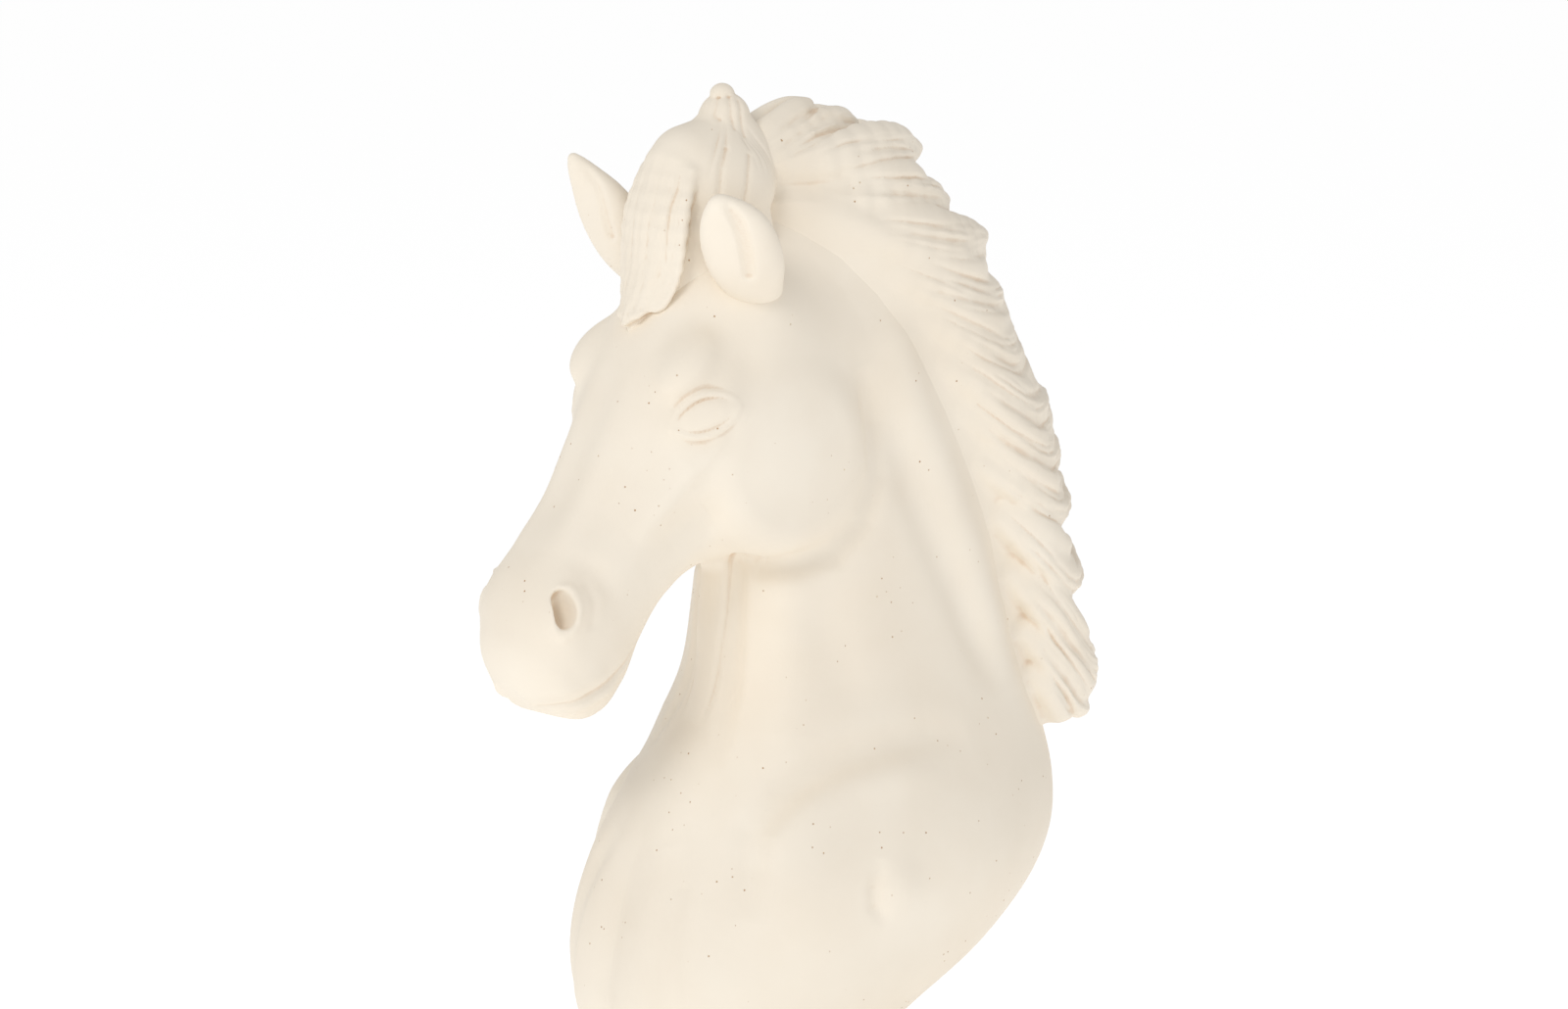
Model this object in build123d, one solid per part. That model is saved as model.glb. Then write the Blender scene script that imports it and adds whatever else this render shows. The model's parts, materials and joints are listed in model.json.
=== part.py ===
"""Giant garden chess knight: a hollow laminated bust, bonded from two half shells, on a turned
hollow pedestal that is weighted with sand. Millimetres, +Z up, origin on the floor under the
pedestal's axis. The horse looks along -Y and its left side is +X."""

from build123d import *
from math import cos, radians, sin, sqrt
import os

# ---------------------------------------------------------------- driving dimensions
WALL = 5.0                  # laminate thickness of the bust
BOND_GAP = 0.3              # glue line under the bonded-on castings
SLIP_GAP = 0.3              # clearance round loose-fitting pieces
FAR = 1500.0                # larger than the object, for cutting boxes

# Pedestal
FOOT_HEIGHT = 10.0
FOOT_RADIUS = 20.0
FOOT_CIRCLE = 130.0         # radius of the circle that the four feet stand on
PLINTH_RADIUS = 172.0
PLINTH_TOP = 60.0
TORUS_RADIUS = 15.0
TORUS_CENTRE = (146.0, 79.0)
SCOTIA_TOP = (88.0, 130.0)
BEAD_RADIUS = 9.0
COLLAR_RADIUS = 76.0
COLLAR_TOP = 210.0
PEDESTAL_WALL = 6.0
FLANGE = 8.0                # thickness of the collar's closed top
LEDGE = 22.0                # width of the ring that the floor board is screwed to
LEDGE_HEIGHT = 16.0
BASE_PLATE = 18.0           # board that closes the pedestal from below
GASKET = 2.0
FLOOR_PLATE = 12.0          # board inside the foot of the bust
BASE_BOTTOM = FOOT_HEIGHT
BASE_TOP = BASE_BOTTOM + BASE_PLATE
BUST_BOTTOM = COLLAR_TOP + GASKET
SAND_TOP = 104.0

# Tie rod, M12
ROD_RADIUS = 6.0
ROD_HOLE = 6.6
ROD_LOW, ROD_HIGH = 3.0, 242.0
NUT_FLATS, NUT_HEIGHT = 18.0, 10.0
WASHER_RADIUS, WASHER = 17.0, 3.0
SLEEVE_RADIUS, SLEEVE_BORE = 9.5, 7.0
PIN_RADIUS, PIN_CIRCLE = 5.0, 50.0
SCREW_RADIUS, SCREW_HEAD = 2.5, 5.0
FLOOR_SCREWS = 6

# Fill plug at the back of the plinth, axis along +Y
PLUG_HEIGHT = 43.0
BUSH_FACE = 168.0           # flat spot cut on the round plinth
BUSH_RADIUS, BUSH_FLANGE_RADIUS, BUSH_FLANGE = 12.5, 15.0, 2.5
BUSH_INNER = 138.0
PLUG_RADIUS, PLUG_LENGTH = 9.0, 20.0
PLUG_HEAD_RADIUS, PLUG_HEAD = 13.5, 6.0
SEAL = 1.5
SLOT_WIDTH, SLOT_DEPTH = 3.0, 3.0

# Neck and chest, level by level: height, front, back, half width, where it is widest.
NECK = [
    (166, -112, -30, 36, -65),
    (180, -146, 30, 84, -40),
    (200, -162, 76, 106, -30),
    (218, -166, 104, 117, -20),
    (245, -164, 149, 128, -5),
    (275, -157, 185, 134, 5),
    (320, -142, 214, 136, 20),
    (365, -122, 222, 127, 40),
    (411, -96, 219, 109, 50),
    (455, -75, 213, 91, 50),
    (510, -67, 210, 78, 45),
    (570, -60, 205, 72, 40),
    (630, -50, 192, 67, 30),
    (690, -50, 165, 62, 15),
    (745, -55, 133, 54, 5),
    (795, -60, 90, 42, -5),
    (825, -45, 40, 20, -8),
]
CAVITY_TOP = 800.0          # the neck's hollow stops below the poll

# Head, station by station along its axis: distance, top, bottom, half width, widest.
HEAD_START = (0.0, 10.0, 735.0)
HEAD_SLOPE = 45.0           # degrees that the head's axis points below the horizon
HEAD = [
    (-32, 52, -42, 26, 0),
    (-5, 92, -86, 50, 0),
    (35, 111, -108, 66, 0),
    (80, 106, -119, 75, 10),
    (125, 96, -114, 78, 30),
    (165, 82, -90, 69, 25),
    (205, 69, -60, 57, 15),
    (245, 58, -49, 50, 10),
    (280, 56, -57, 50, 10),
    (312, 52, -67, 52, 8),
    (338, 40, -63, 47, -4),
    (358, 24, -47, 37, -12),
    (370, 6, -24, 18, -12),
]
HEAD_SOLID_FROM = 300.0     # the muzzle is filled from here on

# Ears
EAR_ROOT = (46.0, -56.0, 742.0)
EAR_TIP = (86.0, -130.0, 842.0)
EAR_OPENS = (0.45, -0.85, -0.2)
EAR = [(0.0, 23, 17), (0.35, 26, 17), (0.7, 20, 13), (0.9, 12, 8), (1.0, 4, 3)]
EAR_RIM = 5.0

# Mane: the hanging sheet over the neck's sides, then the crest of lock tips in the middle.
SHEET = 9.0
SHEET_EDGE = [
    (20, 830), (55, 770), (48, 745), (88, 690), (80, 660), (112, 610), (102, 580),
    (130, 525), (118, 495), (150, 450), (168, 405), (196, 396),
]
CREST = [
    (-20, 845), (22, 886), (36, 862), (64, 868), (80, 846), (122, 840), (113, 818),
    (186, 778), (166, 752), (203, 728), (192, 710), (216, 692), (210, 668), (247, 646),
    (236, 630), (253, 616), (239, 600), (255, 577), (246, 562), (262, 522), (250, 504),
    (262, 470), (253, 452), (262, 421), (242, 397), (196, 396),
]
CREST_FOOT = [(150, 560), (90, 700), (0, 790)]
CREST_HALF = 25.0
SIDE_LOCKS = [
    (0, 800), (40, 852), (52, 830), (98, 832), (96, 800), (142, 790), (138, 762), (172, 742),
    (165, 712), (198, 690), (192, 660), (218, 636), (212, 606), (226, 580), (220, 552),
    (238, 520), (232, 492), (246, 470), (240, 448), (258, 422), (236, 397), (196, 396),
]
SIDE_LOCKS_HALF = 38.0

# Forelock: wedge over the forehead and the flame-like topknot above it.
WEDGE = [(-42, 850), (42, 850), (44, 795), (26, 745), (0, 712), (-26, 745), (-44, 795)]
WEDGE_THICKNESS = 13.0
KNOT = [
    (770, -100, -4, 34, -50),
    (810, -112, 6, 44, -48),
    (845, -112, 4, 40, -48),
    (872, -96, -16, 25, -50),
    (890, -76, -36, 10, -54),
    (899, -62, -48, 4, -55),
]


# ---------------------------------------------------------------- helpers
def ring(centre, across, along, half_width, front, back, widest):
    """Closed egg-shaped face: `across` is the width direction, `along` goes from front to back."""
    def at(w, a):
        return centre + across * w + along * a
    side, diagonal, fullness = half_width, 0.74 * half_width, 0.72
    front_mid = widest + (front - widest) * fullness
    back_mid = widest + (back - widest) * fullness
    points = [
        at(0, front), at(diagonal, front_mid), at(side, widest), at(diagonal, back_mid),
        at(0, back), at(-diagonal, back_mid), at(-side, widest), at(-diagonal, front_mid),
    ]
    return make_face(Spline(*points, periodic=True))


def stack(levels, inset):
    faces = [
        ring(Vector(0, 0, z), Vector(1, 0, 0), Vector(0, 1, 0),
             half - inset, front + inset, back - inset, widest)
        for z, front, back, half, widest in levels
    ]
    return loft(faces)


def neck_solid(inset, high=FAR):
    return stack([level for level in NECK if level[0] <= high], inset)


def head_solid(inset, end=FAR):
    slope = radians(HEAD_SLOPE)
    forward = Vector(0, -cos(slope), -sin(slope))
    upward = Vector(0, -sin(slope), cos(slope))
    faces = [
        ring(Vector(*HEAD_START) + forward * s, Vector(1, 0, 0), upward,
             half - inset, bottom + inset, top - inset, widest)
        for s, top, bottom, half, widest in HEAD
        if s <= end
    ]
    return loft(faces)


def one(shape):
    """The largest solid of a shape, without the crumbs that a cut can leave."""
    return max(shape.solids(), key=lambda s: s.volume)


def slab(low_x, high_x, low_y, high_y, low_z, high_z):
    box = Box(high_x - low_x, high_y - low_y, high_z - low_z, align=Align.MIN)
    return Pos(low_x, low_y, low_z) * box


def tube(outer, inner, low, high):
    body = Cylinder(outer, high - low, align=(Align.CENTER, Align.CENTER, Align.MIN))
    if inner:
        body -= Cylinder(inner, high - low, align=(Align.CENTER, Align.CENTER, Align.MIN))
    return Pos(0, 0, low) * body


def tube_y(outer, inner, low, high, height):
    """A tube along +Y at a given height."""
    return Pos(0, 0, height) * Rot(-90, 0, 0) * tube(outer, inner, low, high)


def hexagon(across_flats, bore, low, high):
    sketch = RegularPolygon(across_flats / sqrt(3), 6) - Circle(bore)
    return Pos(0, 0, low) * extrude(sketch, high - low)


def around(count, radius, start=0.0):
    angles = [radians(start + i * 360 / count) for i in range(count)]
    return [(radius * cos(a), radius * sin(a)) for a in angles]


def side_prism(points, half):
    """A closed outline in side view (y, z), pulled out to both sides of the middle."""
    face = make_face(Polyline(*[(-half, y, z) for y, z in points], close=True))
    return extrude(face, 2 * half, dir=(1, 0, 0))


def front_prism(points, front, back):
    """A closed outline in front view (x, z), pulled out along Y."""
    face = make_face(Polyline(*[(x, front, z) for x, z in points], close=True))
    return extrude(face, back - front, dir=(0, 1, 0))


def save(name, shape):
    export_step(shape, f"parts/{name}.step")


# ---------------------------------------------------------------- bust
def bust_outer(inset=0.0):
    return neck_solid(inset) + head_solid(inset)


def bust_cavity(inset):
    neck = neck_solid(inset, CAVITY_TOP) & slab(-FAR, FAR, -FAR, FAR, BUST_BOTTOM, FAR)
    return neck + head_solid(inset, HEAD_SOLID_FROM)


def bust_half(side):
    """One half shell. Its foot is solid round the socket that the collar seats in."""
    half = bust_outer() & slab(*sorted((0, side * FAR)), -FAR, FAR, 0, FAR)
    half -= bust_cavity(WALL)
    half -= tube(COLLAR_RADIUS + SLIP_GAP, 0, 0, BUST_BOTTOM)
    return one(half)


def seam_tape():
    thickness, half_width = 2.0, 24.0
    tape = bust_cavity(WALL + BOND_GAP) - bust_cavity(WALL + BOND_GAP + thickness)
    low = BUST_BOTTOM + FLOOR_PLATE + SLIP_GAP
    return one(tape & slab(-half_width, half_width, -FAR, FAR, low, FAR))


def bust_floor():
    plate = neck_solid(WALL + SLIP_GAP, CAVITY_TOP)
    plate &= slab(-FAR, FAR, -FAR, FAR, BUST_BOTTOM, BUST_BOTTOM + FLOOR_PLATE)
    plate -= tube(ROD_HOLE, 0, 0, FAR)
    for x, y in around(2, PIN_CIRCLE):
        plate -= Pos(x, y, 0) * tube(PIN_RADIUS + BOND_GAP, 0, 0, FAR)
    return plate


def bust_gasket():
    ring_inner = PIN_CIRCLE + PIN_RADIUS + SLIP_GAP + 2
    return tube(COLLAR_RADIUS - 1, ring_inner, COLLAR_TOP, BUST_BOTTOM)


def locating_pins():
    low, high = COLLAR_TOP - FLANGE - 6, BUST_BOTTOM + FLOOR_PLATE
    return [Pos(x, y, 0) * tube(PIN_RADIUS, 0, low, high) for x, y in around(2, PIN_CIRCLE)]


def ear(around_bust, front_hair):
    """The left ear: a leaf shape, hollowed from the side that it opens to."""
    root = Vector(*EAR_ROOT)
    length = Vector(*EAR_TIP) - root
    opens = Vector(*EAR_OPENS)
    opens = (opens - length.normalized() * opens.dot(length.normalized())).normalized()
    across = opens.cross(length).normalized()
    leaf = loft([
        ring(root + length * s, across, opens, half, -thick, thick, 0) for s, half, thick in EAR
    ])
    hollow = loft([
        ring(root + length * s + opens * thick, across, opens, half - EAR_RIM, -thick, thick, 0)
        for s, half, thick in EAR
        if half > 2 * EAR_RIM
    ])
    return one(leaf - hollow - around_bust - front_hair)


def mane(around_bust, front_hair):
    sheet_outline = SHEET_EDGE + [(FAR, 396), (FAR, FAR), (20, FAR)]
    sheet = neck_solid(-SHEET) & side_prism(sheet_outline, FAR)
    crest = side_prism(CREST + CREST_FOOT, CREST_HALF)
    side_locks = side_prism(SIDE_LOCKS + CREST_FOOT, SIDE_LOCKS_HALF)
    return one(sheet + side_locks + crest - around_bust - front_hair)


def forelock(around_bust):
    wedge = head_solid(-WEDGE_THICKNESS) & front_prism(WEDGE, -FAR, EAR_ROOT[1])
    knot = stack(KNOT, 0)
    return one(wedge + knot - around_bust)


# ---------------------------------------------------------------- pedestal
def pedestal_outline():
    """Half section of the turned outside, from the axis at the bottom to the axis at the top."""
    torus_x, torus_z = TORUS_CENTRE
    scotia_x, scotia_z = SCOTIA_TOP
    step = 3.0
    bead_top = scotia_z + step + 2 * BEAD_RADIUS
    foot_of_torus = torus_z - TORUS_RADIUS
    top_of_torus = torus_z + TORUS_RADIUS
    scotia_foot = (torus_x - step, top_of_torus + step)
    scotia_mid = (scotia_x + 14, top_of_torus + 16)
    lines = [
        Polyline((0, 0, BASE_BOTTOM), (PLINTH_RADIUS - 3, 0, BASE_BOTTOM),
                 (PLINTH_RADIUS, 0, BASE_BOTTOM + 3), (PLINTH_RADIUS, 0, PLINTH_TOP - 3),
                 (PLINTH_RADIUS - 3, 0, PLINTH_TOP), (torus_x + 8, 0, PLINTH_TOP),
                 (torus_x + 8, 0, foot_of_torus), (torus_x, 0, foot_of_torus)),
        ThreePointArc((torus_x, 0, foot_of_torus), (torus_x + TORUS_RADIUS, 0, torus_z),
                      (torus_x, 0, top_of_torus)),
        Polyline((torus_x, 0, top_of_torus), (torus_x - step, 0, top_of_torus),
                 (scotia_foot[0], 0, scotia_foot[1])),
        ThreePointArc((scotia_foot[0], 0, scotia_foot[1]), (scotia_mid[0], 0, scotia_mid[1]),
                      (scotia_x, 0, scotia_z)),
        Polyline((scotia_x, 0, scotia_z), (scotia_x, 0, scotia_z + step)),
        ThreePointArc((scotia_x, 0, scotia_z + step),
                      (scotia_x + BEAD_RADIUS, 0, scotia_z + step + BEAD_RADIUS),
                      (scotia_x, 0, bead_top)),
        Polyline((scotia_x, 0, bead_top), (COLLAR_RADIUS, 0, bead_top + step),
                 (COLLAR_RADIUS, 0, COLLAR_TOP), (0, 0, COLLAR_TOP), (0, 0, BASE_BOTTOM)),
    ]
    return make_face([edge for line in lines for edge in line.edges()])


def pedestal_cavity(inset):
    """Straight-walled hollow inside the pedestal, above the screw ledge."""
    wall = PEDESTAL_WALL + inset
    torus_x, torus_z = TORUS_CENTRE
    scotia_x, scotia_z = SCOTIA_TOP
    ledge_radius = PLINTH_RADIUS - LEDGE - inset
    neck_radius = COLLAR_RADIUS - wall
    points = [
        (0, BASE_TOP + inset), (ledge_radius, BASE_TOP + inset),
        (ledge_radius, BASE_TOP + LEDGE_HEIGHT), (torus_x - wall, torus_z),
        (scotia_x + PEDESTAL_WALL - inset, torus_z + TORUS_RADIUS),
        (scotia_x - wall, scotia_z - 2 * wall),
        (neck_radius, scotia_z), (neck_radius, COLLAR_TOP - FLANGE - inset),
        (0, COLLAR_TOP - FLANGE - inset),
    ]
    face = make_face(Polyline(*[(r, 0, z) for r, z in points], close=True))
    return revolve(face, Axis.Z)


def screw_places():
    return around(FLOOR_SCREWS, PLINTH_RADIUS - LEDGE / 2 - 4, 0)


def pedestal_shell():
    shell = revolve(pedestal_outline(), Axis.Z)
    shell -= pedestal_cavity(0)
    shell -= tube(PLINTH_RADIUS - PEDESTAL_WALL + SLIP_GAP, 0, BASE_BOTTOM, BASE_TOP)
    shell -= tube(ROD_HOLE, 0, 0, FAR)
    for x, y in around(2, PIN_CIRCLE):
        shell -= Pos(x, y, 0) * tube(PIN_RADIUS + BOND_GAP, 0, COLLAR_TOP - FLANGE - 1, FAR)
    for x, y in screw_places():
        shell -= Pos(x, y, 0) * tube(SCREW_RADIUS + SLIP_GAP, 0, BASE_TOP, BASE_TOP + 13)
    shell -= tube_y(BUSH_FLANGE_RADIUS + SLIP_GAP, 0, BUSH_FACE, FAR, PLUG_HEIGHT)
    shell -= tube_y(BUSH_RADIUS + SLIP_GAP, 0, 0, FAR, PLUG_HEIGHT)
    return one(shell)


def pedestal_floor():
    board = tube(PLINTH_RADIUS - PEDESTAL_WALL, ROD_HOLE, BASE_BOTTOM, BASE_TOP)
    board -= tube(WASHER_RADIUS + SLIP_GAP, 0, BASE_BOTTOM, washer_low() + WASHER)
    for x, y in screw_places():
        board -= Pos(x, y, 0) * tube(SCREW_RADIUS + SLIP_GAP, 0, BASE_BOTTOM, BASE_TOP)
        board -= Pos(x, y, 0) * tube(SCREW_HEAD + SLIP_GAP, 0, BASE_BOTTOM, BASE_BOTTOM + SCREW_HEAD)
    for x, y in foot_places():
        board -= Pos(x, y, 0) * tube(SCREW_RADIUS + SLIP_GAP, 0, BASE_BOTTOM, BASE_TOP)
    return board


def foot_places():
    return around(4, FOOT_CIRCLE, 45)


def screw(x, y, head_low, tip):
    """Pan-head screw that points up: head, then shank."""
    body = tube(SCREW_HEAD, 0, head_low, head_low + SCREW_RADIUS)
    body += tube(SCREW_RADIUS, 0, head_low, tip)
    return Pos(x, y, 0) * body


def floor_screws():
    low = BASE_BOTTOM + SCREW_HEAD - SCREW_RADIUS
    return [screw(x, y, low, BASE_TOP + 12) for x, y in screw_places()]


def rubber_feet():
    pocket = SCREW_HEAD + 1
    foot = loft([
        Pos(0, 0, 0) * Circle(FOOT_RADIUS - 3), Pos(0, 0, 3) * Circle(FOOT_RADIUS - 1),
        Pos(0, 0, FOOT_HEIGHT) * Circle(FOOT_RADIUS),
    ], ruled=True)
    foot -= tube(pocket, 0, 0, FOOT_HEIGHT / 2)
    foot -= tube(SCREW_RADIUS + SLIP_GAP, 0, 0, FOOT_HEIGHT)
    return [Pos(x, y, 0) * foot for x, y in foot_places()]


def foot_screws():
    low = FOOT_HEIGHT / 2 - SCREW_RADIUS
    return [screw(x, y, low, BASE_TOP - 2) for x, y in foot_places()]


# ---------------------------------------------------------------- tie rod
def washer_low():
    return ROD_LOW + 2 + NUT_HEIGHT


def tie_rod():
    return tube(ROD_RADIUS, 0, ROD_LOW, ROD_HIGH)


def tie_rod_washer():
    return tube(WASHER_RADIUS, ROD_HOLE, washer_low(), washer_low() + WASHER)


def tie_rod_nut():
    return hexagon(NUT_FLATS, ROD_RADIUS, ROD_LOW + 2, ROD_LOW + 2 + NUT_HEIGHT)


def captive_nut():
    low = BUST_BOTTOM + FLOOR_PLATE
    nut = tube(WASHER_RADIUS, ROD_RADIUS, low, low + WASHER)
    return nut + hexagon(NUT_FLATS, ROD_RADIUS, low + WASHER, low + WASHER + NUT_HEIGHT)


def rod_sleeve():
    return tube(SLEEVE_RADIUS, SLEEVE_BORE, BASE_TOP, COLLAR_TOP - FLANGE)


def sand_ballast():
    sand = pedestal_cavity(SLIP_GAP) & tube(FAR, SLEEVE_RADIUS + SLIP_GAP, 0, SAND_TOP)
    sand -= tube_y(BUSH_RADIUS + SLIP_GAP, 0, BUSH_INNER - 2, FAR, PLUG_HEIGHT)
    for x, y in screw_places():
        sand -= Pos(x, y, 0) * tube(SCREW_HEAD, 0, 0, BASE_TOP + 13)
    return one(sand)


# ---------------------------------------------------------------- fill plug
def plug_bush():
    bush = tube_y(BUSH_RADIUS, PLUG_RADIUS + SLIP_GAP, BUSH_INNER, BUSH_FACE, PLUG_HEIGHT)
    return bush + tube_y(BUSH_FLANGE_RADIUS, PLUG_RADIUS + SLIP_GAP, BUSH_FACE,
                         BUSH_FACE + BUSH_FLANGE, PLUG_HEIGHT)


def seal_face():
    return BUSH_FACE + BUSH_FLANGE


def fill_plug_seal():
    return tube_y(PLUG_HEAD_RADIUS - 0.5, PLUG_RADIUS + SLIP_GAP, seal_face() + SLIP_GAP,
                  seal_face() + SLIP_GAP + SEAL, PLUG_HEIGHT)


def fill_plug():
    head_low = seal_face() + 2 * SLIP_GAP + SEAL
    head_high = head_low + PLUG_HEAD
    plug = tube_y(PLUG_RADIUS, 0, head_low - PLUG_LENGTH, head_low, PLUG_HEIGHT)
    plug += tube_y(PLUG_HEAD_RADIUS, 0, head_low, head_high, PLUG_HEIGHT)
    slot = slab(-FAR, FAR, head_high - SLOT_DEPTH, FAR,
                PLUG_HEIGHT - SLOT_WIDTH / 2, PLUG_HEIGHT + SLOT_WIDTH / 2)
    return plug - slot


# ---------------------------------------------------------------- everything
os.makedirs("parts", exist_ok=True)
bust_around = bust_outer(-BOND_GAP)
front_hair = forelock(bust_around)
left_ear = ear(bust_around, front_hair)
save("bust_shell_left", bust_half(1))
save("bust_shell_right", bust_half(-1))
save("seam_tape", seam_tape())
save("bust_floor", bust_floor())
save("bust_gasket", bust_gasket())
save("locating_pins", Compound(children=locating_pins()))
save("ear_left", left_ear)
save("ear_right", mirror(left_ear, about=Plane.YZ))
save("forelock", front_hair)
save("mane", mane(bust_around, front_hair))
save("pedestal_shell", pedestal_shell())
save("pedestal_floor", pedestal_floor())
save("floor_screws", Compound(children=floor_screws()))
save("rubber_feet", Compound(children=rubber_feet()))
save("foot_screws", Compound(children=foot_screws()))
save("tie_rod", tie_rod())
save("tie_rod_washer", tie_rod_washer())
save("tie_rod_nut", tie_rod_nut())
save("captive_nut", captive_nut())
save("rod_sleeve", rod_sleeve())
save("sand_ballast", sand_ballast())
save("plug_bush", plug_bush())
save("fill_plug", fill_plug())
save("fill_plug_seal", fill_plug_seal())
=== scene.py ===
# %% [markdown]
# # A giant garden chess knight
# The object is a hollow horse bust on a turned pedestal, cast in a matte cream resin. The CAD frame
# already holds every piece in its place: shells, mane, ears, pedestal, rod, ballast and plug. This
# lesson keeps those places and sculpts the carved pieces again with all their muscles and locks.
# Carving is easiest as a signed distance field: numbers on a grid that say how far each point is
# from the surface. Fields can be blended softly, like clay, and then turned into a mesh.

# %% Load the frame
import json
import bmesh
import bpy
import numpy as np
import openvdb
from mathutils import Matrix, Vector

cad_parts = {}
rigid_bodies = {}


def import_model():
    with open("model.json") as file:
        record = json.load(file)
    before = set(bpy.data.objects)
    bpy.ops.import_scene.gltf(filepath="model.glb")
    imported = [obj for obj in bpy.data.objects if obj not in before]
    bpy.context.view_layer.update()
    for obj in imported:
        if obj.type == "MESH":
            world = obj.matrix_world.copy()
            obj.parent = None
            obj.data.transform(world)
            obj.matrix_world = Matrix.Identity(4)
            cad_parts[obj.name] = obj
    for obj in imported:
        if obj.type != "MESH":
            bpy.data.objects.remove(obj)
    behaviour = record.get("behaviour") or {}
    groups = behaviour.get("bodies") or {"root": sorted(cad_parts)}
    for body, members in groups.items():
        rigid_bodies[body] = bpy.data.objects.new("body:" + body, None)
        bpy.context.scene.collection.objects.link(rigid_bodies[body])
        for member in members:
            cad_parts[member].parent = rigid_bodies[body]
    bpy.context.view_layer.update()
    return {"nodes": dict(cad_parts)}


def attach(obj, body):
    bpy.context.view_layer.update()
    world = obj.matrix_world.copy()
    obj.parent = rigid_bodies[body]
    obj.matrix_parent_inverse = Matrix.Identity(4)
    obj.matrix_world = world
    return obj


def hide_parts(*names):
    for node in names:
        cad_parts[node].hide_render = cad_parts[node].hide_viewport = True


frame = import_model()
nodes = frame["nodes"]
STEP = 1.4          # grid spacing of the sculpted bust, in millimetres
FINE = 1.2          # the same for hair and ears

# %% [markdown]
# ## Clay tools
# These few functions are the sculptor's tools. `ball` and `rope` are lumps of clay, `join` and
# `carve` press one lump into another with a soft edge of a chosen width, and `skin` turns the
# finished field into a mesh. Everything is in millimetres until the mesh is made.

# %% Clay tools
def smooth_table(rows, samples=400):
    """Rows of (position, values...) resampled along a smooth Catmull-Rom curve."""
    rows = np.array(rows, float)
    at, values = rows[:, 0], rows[:, 1:]
    slopes = np.gradient(values, at, axis=0)
    dense = np.linspace(at[0], at[-1], samples)
    i = np.clip(np.searchsorted(at, dense) - 1, 0, len(at) - 2)
    h = (at[i + 1] - at[i])[:, None]
    t = ((dense - at[i]) / (at[i + 1] - at[i]))[:, None]
    out = ((2 * t**3 - 3 * t**2 + 1) * values[i] + (t**3 - 2 * t**2 + t) * h * slopes[i]
           + (3 * t**2 - 2 * t**3) * values[i + 1] + (t**3 - t**2) * h * slopes[i + 1])
    return dense, out


def look_up(table, where):
    dense, values = table
    return [np.interp(where, dense, values[:, c]).astype(np.float32) for c in range(values.shape[1])]


def join(a, b, soft):
    h = np.clip(0.5 + 0.5 * (b - a) / soft, 0, 1)
    return b + (a - b) * h - soft * h * (1 - h)


def carve(a, b, soft):
    return -join(-a, b, soft)


class Clay:
    """A box of grid points with a distance value at each one."""

    def __init__(self, low, high, step):
        self.low, self.step = np.array(low, float), step
        counts = np.ceil((np.array(high) - self.low) / step).astype(int) + 1
        self.axes = [(self.low[i] + step * np.arange(counts[i])).astype(np.float32) for i in range(3)]
        self.d = np.full(counts, 50.0, np.float32)

    def window(self, low, high):
        cut = []
        for axis, a, b in zip(self.axes, low, high):
            cut.append(slice(int(np.searchsorted(axis, a)), int(np.searchsorted(axis, b))))
        x, y, z = (axis[c] for axis, c in zip(self.axes, cut))
        return tuple(cut), x[:, None, None], y[None, :, None], z[None, None, :]

    def whole(self):
        return self.window([-1e4] * 3, [1e4] * 3)

    def put(self, shape, how, soft, low, high):
        """Adds or carves a shape inside a window. The shape sees |x|, so both sides get it."""
        cut, x, y, z = self.window(low, high)
        if 0 in self.d[cut].shape:
            return
        self.d[cut] = how(self.d[cut], shape(np.abs(x), y, z), soft)

    def ball(self, centre, radii, how=join, soft=12.0, turn=0.0):
        """An ellipsoid; turn tips it in side view, in degrees."""
        reach = max(radii) + 2 * soft
        low, high = np.array(centre) - reach, np.array(centre) + reach
        low[0] = -high[0]
        c, s = np.cos(np.radians(turn)), np.sin(np.radians(turn))

        def shape(x, y, z):
            px, py, pz = x - centre[0], y - centre[1], z - centre[2]
            qy, qz = c * py + s * pz, -s * py + c * pz
            k0 = np.sqrt((px / radii[0])**2 + (qy / radii[1])**2 + (qz / radii[2])**2)
            k1 = np.sqrt((px / radii[0]**2)**2 + (qy / radii[1]**2)**2 + (qz / radii[2]**2)**2)
            return k0 * (k0 - 1) / np.maximum(k1, 1e-6)
        self.put(shape, how, soft, low, high)

    def rope(self, points, radii, how=join, soft=8.0):
        """A round rope along points, with a radius at each point."""
        points = np.array(points, float)
        radii = np.broadcast_to(np.array(radii, float), (len(points),))
        reach = radii.max() + 2 * soft
        low, high = points.min(0) - reach, points.max(0) + reach
        low[0] = min(low[0], -reach)

        def shape(x, y, z):
            best = None
            for a, b, ra, rb in zip(points[:-1], points[1:], radii[:-1], radii[1:]):
                e = b - a
                px, py, pz = x - a[0], y - a[1], z - a[2]
                t = np.clip((px * e[0] + py * e[1] + pz * e[2]) / (e @ e), 0, 1)
                gap = np.sqrt((px - t * e[0])**2 + (py - t * e[1])**2 + (pz - t * e[2])**2)
                gap = gap - (ra + (rb - ra) * t)
                best = gap if best is None else np.minimum(best, gap)
            return best.astype(np.float32)
        self.put(shape, how, soft, low, high)


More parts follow.
